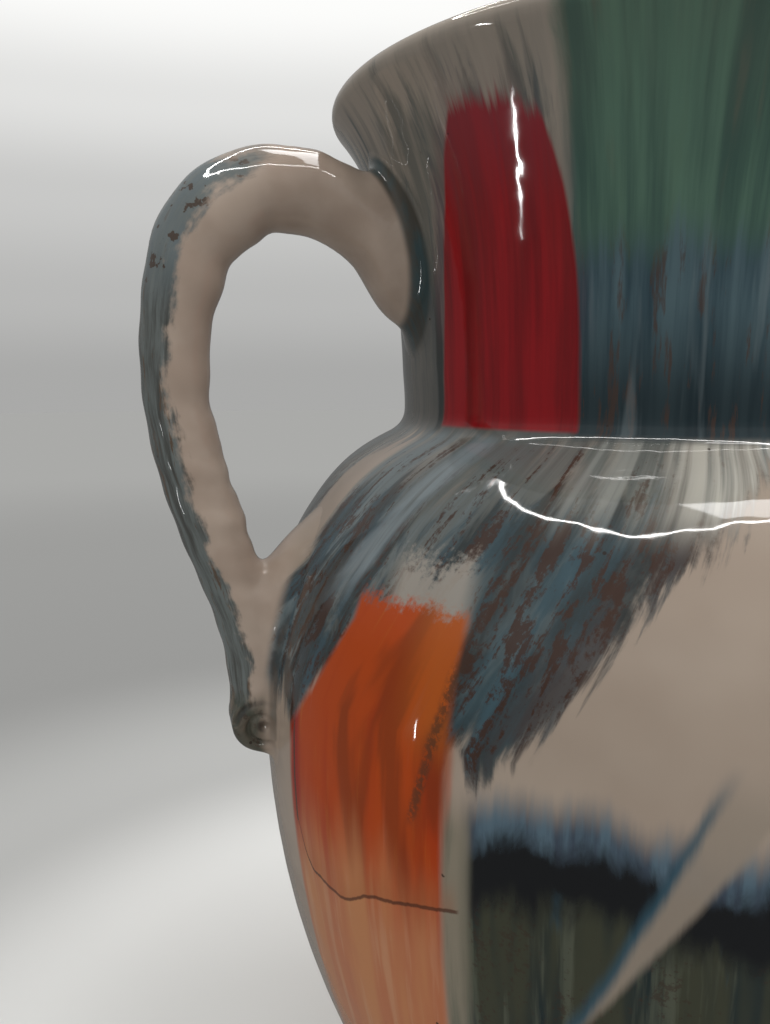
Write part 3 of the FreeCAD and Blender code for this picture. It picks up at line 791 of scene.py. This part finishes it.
def glaze_shader(material, on, tint, bump_share=1.0):
    """A glossy glaze over the colour, with the faint waves of a fired surface and some pinholes."""
    tree = material.node_tree
    shader = tree.nodes["Principled BSDF"]
    plug(tree, tint, shader.inputs["Base Color"])
    shader.inputs["IOR"].default_value = 1.52
    rough = on.cloud(9, 4.0, 3.0, 0.6).between(0.3, 0.8) * 0.045 + 0.035
    plug(tree, rough, shader.inputs["Roughness"])
    ripple = on.cloud(5.5, 6.0, 1.0, 0.4) * 0.4 + on.cloud(14, 1.0, 1.0, 0.4)
    bump = tree.nodes.new("ShaderNodeBump")
    bump.inputs["Strength"].default_value = 1.0
    bump.inputs["Distance"].default_value = 0.0002 * bump_share
    plug(tree, ripple, bump.inputs["Height"])
    tree.links.new(bump.outputs[0], shader.inputs["Normal"])


def pinholes(on, tint):
    """Rare small dark pits in the glaze."""
    node = on.tree.nodes.new("ShaderNodeTexVoronoi")
    plug(on.tree, on.place, node.inputs["Vector"])
    node.inputs["Scale"].default_value = 0.16
    node.inputs["Randomness"].default_value = 1.0
    near = Value(on.tree, node.outputs["Distance"])
    rare = on.cloud(11, 15.0, 2.0, 0.5).between(0.6, 0.63)
    return blend(near.between(0.075, 0.05) * rare * 0.85, tint, (44, 32, 26))


def new_material(name):
    """A material with nodes, and the places on the jug for it."""
    material = bpy.data.materials.new(name)
    material.use_nodes = True
    return material, Surface(material.node_tree)


def wall_material():
    material, on = new_material("run_glaze")
    noises = run_noises(on)
    tint = run_glaze(on, noises)
    tint = orange_fields(on, noises, tint)
    tint = red_fields(on, noises, tint)
    tint = pinholes(on, tint)
    tint = blend(on.z.between(296.6, 299.2) * 0.85, tint, (172, 160, 147))
    tint = blend((on.z + on.cloud(3.0, 1.0) * 1.0).between(13.4, 12.6), tint, (168, 144, 122))
    glaze_shader(material, on, tint)
    return material


def attribute(on, name):
    """A number that attributes() stored in the handle's mesh."""
    node = on.tree.nodes.new("ShaderNodeAttribute")
    node.attribute_name = name
    return Value(on.tree, node.outputs["Fac"])


def coil_colour(on, along, side, patch, ragged):
    """The coil: beige, with streaked blue-grey runs along its outer side."""
    beige = blend(patch.between(0.3, 0.7), (163, 145, 131), (178, 161, 147))
    runs = noise(combine(on.tree, along * 0.03, on.y * 0.36, side * 3.2), 5.0, 0.65)
    outer = (side + (ragged - 0.5) * 1.3 + (runs - 0.5) * 0.5).between(0.12, 0.42)
    outer = outer * (along + (ragged - 0.5) * 26.0).between(36, 48)
    streak = blend(runs.between(0.4, 0.62), (94, 105, 106), (46, 55, 56))
    brown = noise(combine(on.tree, along * 0.07, on.y * 0.5, side * 4.0 + 3.0), 5.0, 0.7)
    streak = blend(brown.between(0.56, 0.64), streak, (74, 58, 44))
    streak = blend(box_mask(along, 44.0, 72.0, 8.0) * runs.between(0.35, 0.55) * 0.8, streak, (92, 108, 114))
    dark_spot = on.cloud(3.2, 12.0, 3.0, 0.6).between(0.6, 0.64) * box_mask(along, 40.0, 74.0, 6.0)
    streak = blend(dark_spot, streak, (46, 34, 28))
    return blend(outer * 0.9, beige, streak)


def scroll_colour(on, ragged):
    """The rolled end: glaze pooled dark in the spiral and in the pit at its middle."""
    roll_x, roll_z = on.x + ROLL[0], on.z - ROLL[1]
    rho = (roll_x * roll_x + roll_z * roll_z).math("SQRT")
    pool = blend(ragged.between(0.42, 0.58), (62, 66, 57), (106, 95, 83))
    pool = blend(on.cloud(2.6, 7.0, 4.0, 0.65).between(0.54, 0.62) * 0.7, pool, (58, 42, 34))
    groove = (rho - 6.0).math("ABSOLUTE").between(1.0, 0.3) * roll_z.between(-1.0, 3.0)
    pool = blend(groove * 0.8, pool, (32, 34, 31))
    return blend(rho.between(1.9, 1.0) * 0.85, pool, (28, 22, 18))


def handle_material():
    """The handle's glaze, which runs into the wall's at both roots."""
    material, on = new_material("handle_glaze")
    along, side, off = (attribute(on, name) for name in ("along", "side", "off_wall"))
    patch = on.cloud(14, 2.0, 3.0, 0.5)
    ragged = noise(combine(on.tree, along * 0.12, on.y * 0.2, side * 1.5), 4.0, 0.6)
    end = (on.z + (patch - 0.5) * 8.0).between(160, 154)
    coil = blend(end * 0.92, coil_colour(on, along, side, patch, ragged), scroll_colour(on, ragged))
    tint = blend(off.between(1.2, 3.6), run_glaze(on, run_noises(on)), coil)
    crease = off.between(0.15, 0.6).without(off.between(2.4, 4.2))
    crease = crease * (on.z + (patch - 0.5) * 12.0).between(232, 244) * on.y.between(6.0, -3.0)
    low_crease = off.between(0.1, 0.4).without(off.between(1.0, 2.2)) * box_mask(on.z, 146.0, 178.0, 5.0)
    tint = blend(low_crease * 0.6, tint, blend(ragged.between(0.4, 0.6), (58, 62, 60), (82, 70, 60)))
    tint = blend(crease * 0.85, tint, blend(ragged.between(0.4, 0.6), (40, 62, 66), (54, 52, 46)))
    tint = pinholes(on, tint)
    glaze_shader(material, on, tint, 0.8)
    return material


def inside_material():
    material, on = new_material("inner_glaze")
    tint = blend(on.cloud(30, 1.0, 3.0, 0.5).between(0.3, 0.7), (148, 133, 119), (166, 151, 137))
    tint = blend(on.streaks(5, 90, 4.0, 4.0, 0.6).between(0.56, 0.7) * 0.4, tint, (110, 114, 110))
    tint = pinholes(on, tint)
    tint = blend(on.z.between(290, 299) * 0.85, tint, (172, 160, 147))
    glaze_shader(material, on, tint)
    return material


def clay_material():
    material, on = new_material("bare_clay")
    tree = material.node_tree
    shader = tree.nodes["Principled BSDF"]
    grain = on.cloud(0.9, 5.0, 4.0, 0.7)
    tint = blend(grain.between(0.3, 0.7), (168, 142, 118), (196, 174, 150))
    tint = blend(on.cloud(22, 8.0, 2.0, 0.5).between(0.45, 0.7) * 0.5, tint, (150, 116, 90))
    plug(tree, tint, shader.inputs["Base Color"])
    plug(tree, grain * 0.15 + 0.72, shader.inputs["Roughness"])
    bump = tree.nodes.new("ShaderNodeBump")
    bump.inputs["Distance"].default_value = 0.00025
    plug(tree, grain, bump.inputs["Height"])
    tree.links.new(bump.outputs[0], shader.inputs["Normal"])
    return material


wall_glaze, plain_glaze, coil_glaze = wall_material(), inside_material(), handle_material()
for thing, material, slot, nodes in (
        (shell, wall_glaze, "run_glaze", ("belly", "neck", "seam_coil", "belly_glaze", "neck_glaze")),
        (liner, plain_glaze, "inner_glaze", ("liner_glaze",)),
        (foot, clay_material(), "bare_clay", ("foot",)),
        (handle, coil_glaze, "handle_glaze", ("handle", "upper_pad", "lower_pad")),
        (scroll, coil_glaze, "handle_glaze", ("scroll",))):
    thing.data.materials.append(material)
    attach(thing, "root")
    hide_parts(*nodes)


def glaze_inward_faces(thing, material, above):
    """Gives the faces that look towards the axis, above a height in metres, the material."""
    polygons = thing.data.polygons
    centre, facing = np.empty(len(polygons) * 3), np.empty(len(polygons) * 3)
    polygons.foreach_get("center", centre)
    polygons.foreach_get("normal", facing)
    centre, facing = centre.reshape(-1, 3), facing.reshape(-1, 3)
    inward = (centre[:, 0] * facing[:, 0] + centre[:, 1] * facing[:, 1] < 0) & (centre[:, 2] > above)
    thing.data.materials.append(material)
    polygons.foreach_set("material_index", inward.astype(np.int32))


glaze_inward_faces(shell, plain_glaze, 14 * MM)

# The stage: a pale floor whose greys are a painted pool of light, light under the jug and greyer further out,
# a plain sky of soft light, and a ring of light overhead. Greys are given as stops of (place, level).
FLOOR_RADIUS = 6000
FLOOR_PAINTED_LIGHT = ((0.0, 0.72), (0.10, 0.72), (0.1525, 0.42), (0.255, 0.262), (0.5, 0.27), (1.0, 0.32))
SKY_GREYS = ((0.0, 0.40), (0.085, 0.48), (0.19, 0.58), (0.28, 0.76), (0.37, 0.98), (1.0, 1.0))
RING_RADII = (260.0, 269.0)
RING_HEIGHT = 660.0
CAMERA_PLACE = (-0.1297, -0.2062, 0.2330)
CAMERA_DOWN = 8.92
CAMERA_TURN = -15
CAMERA_LENS = 30.23


def levels(tree, value, stops):
    """A grey that follows stops of (value, level), smoothly."""
    ramp = tree.nodes.new("ShaderNodeValToRGB")
    ramp.color_ramp.interpolation = "EASE"
    plug(tree, value, ramp.inputs[0])
    while len(ramp.color_ramp.elements) < len(stops):
        ramp.color_ramp.elements.new(0.5)
    for element, (position, level) in zip(ramp.color_ramp.elements, stops):
        element.position = position
        element.color = (level, level, level * 0.985, 1)
    return Value(tree, ramp.outputs[0])


def disc(name, radius, steps=128):
    turn = 2 * np.pi * np.arange(steps) / steps
    points = np.stack([radius * np.cos(turn), radius * np.sin(turn), 0 * turn], 1)
    return piece(name, points, [tuple(range(steps))])


def paper_floor():
    """A wide floor with a painted pool of light in its colour: light under the jug and greyer further out."""
    floor = disc("floor", FLOOR_RADIUS)
    paper, on = new_material("floor_painted_light")
    shader = paper.node_tree.nodes["Principled BSDF"]
    # Painted light: the floor's grey is lighter under the jug and darker further out, like a pool of light.
    grey = levels(paper.node_tree, on.radius * 0.0005, FLOOR_PAINTED_LIGHT)
    plug(paper.node_tree, grey, shader.inputs["Base Color"])
    shader.inputs["Roughness"].default_value = 0.8
    shader.inputs["Specular IOR Level"].default_value = 0.0
    floor.data.materials.append(paper)
    floor.visible_glossy = False
    return floor


def ring_light(steps=96):
    """A thin bright ring overhead, which only the glaze's reflections show."""
    turn = 2 * np.pi * np.arange(steps) / steps
    points = np.concatenate([np.stack([r * np.cos(turn) - 20, r * np.sin(turn), 0 * turn + RING_HEIGHT], 1)
                             for r in RING_RADII])
    faces = [(j, (j + 1) % steps, steps + (j + 1) % steps, steps + j) for j in range(steps)]
    ring = piece("ring_light", points, faces)
    glow = bpy.data.materials.new("ring_glow")
    glow.use_nodes = True
    glow.node_tree.nodes.clear()
    emit = glow.node_tree.nodes.new("ShaderNodeEmission")
    emit.inputs["Strength"].default_value = 42.0
    emit.inputs["Color"].default_value = (1.0, 0.985, 0.96, 1.0)
    output = glow.node_tree.nodes.new("ShaderNodeOutputMaterial")
    glow.node_tree.links.new(emit.outputs[0], output.inputs[0])
    ring.data.materials.append(glow)
    ring.visible_camera = False
    ring.visible_diffuse = False
    return ring


floor, ring = paper_floor(), ring_light()


def area_light(name, place, aim, width, height, power):
    """An oblong light for reflections only, in metres and watts."""
    data = bpy.data.lights.new(name, "AREA")
    data.shape, data.size, data.size_y, data.energy = "RECTANGLE", width, height, power
    lamp = bpy.data.objects.new(name, data)
    lamp.location = place
    lamp.rotation_euler = (Vector(aim) - Vector(place)).to_track_quat("-Z", "Y").to_euler()
    lamp.visible_camera = False
    lamp.visible_diffuse = False
    bpy.context.scene.collection.objects.link(lamp)
    return lamp


def key_light():
    """The soft light from above that shades the jug."""
    key = bpy.data.objects.new("key", bpy.data.lights.new("key", "SUN"))
    key.data.energy = 1.25
    key.data.angle = math.radians(50)
    key.rotation_euler = Vector((0.62, -0.45, 0.9)).to_track_quat("Z", "Y").to_euler()
    key.visible_glossy = False
    bpy.context.scene.collection.objects.link(key)


def studio_sky():
    """A grey sky, lighter overhead, and dimmer in reflections than to the eye."""
    world = bpy.data.worlds.new("studio")
    bpy.context.scene.world = world
    world.use_nodes = True
    tree = world.node_tree
    tree.nodes.clear()
    where = tree.nodes.new("ShaderNodeTexCoord")
    split = tree.nodes.new("ShaderNodeSeparateXYZ")
    tree.links.new(where.outputs["Generated"], split.inputs[0])
    background = tree.nodes.new("ShaderNodeBackground")
    plug(tree, levels(tree, Value(tree, split.outputs[2]), SKY_GREYS), background.inputs[0])
    ray = tree.nodes.new("ShaderNodeLightPath")
    plug(tree, Value(tree, ray.outputs["Is Glossy Ray"]) * -0.6 + 1.0, background.inputs[1])
    output = tree.nodes.new("ShaderNodeOutputWorld")
    tree.links.new(background.outputs[0], output.inputs[0])


def place_camera():
    """The camera, close to the jug and looking a little down."""
    camera = bpy.data.objects.new("camera", bpy.data.cameras.new("camera"))
    bpy.context.scene.collection.objects.link(camera)
    camera.location = CAMERA_PLACE
    camera.rotation_euler = (math.radians(90 - CAMERA_DOWN), 0, math.radians(CAMERA_TURN))
    camera.data.lens = CAMERA_LENS
    camera.data.sensor_width = 36.0
    camera.data.clip_start = 0.01
    bpy.context.scene.camera = camera


strip = area_light("strip", (-0.4, -0.065, 0.15), (-0.062, -0.045, 0.278), 0.003, 0.12, 0.003)
strip.data.spread = math.radians(22)
area_light("soft_box", (0.24, 0.03, 0.75), (0.0, -0.05, 0.21), 0.5, 0.6, 7.0)
key_light()
studio_sky()
place_camera()
bpy.context.scene.view_settings.view_transform = "Standard"
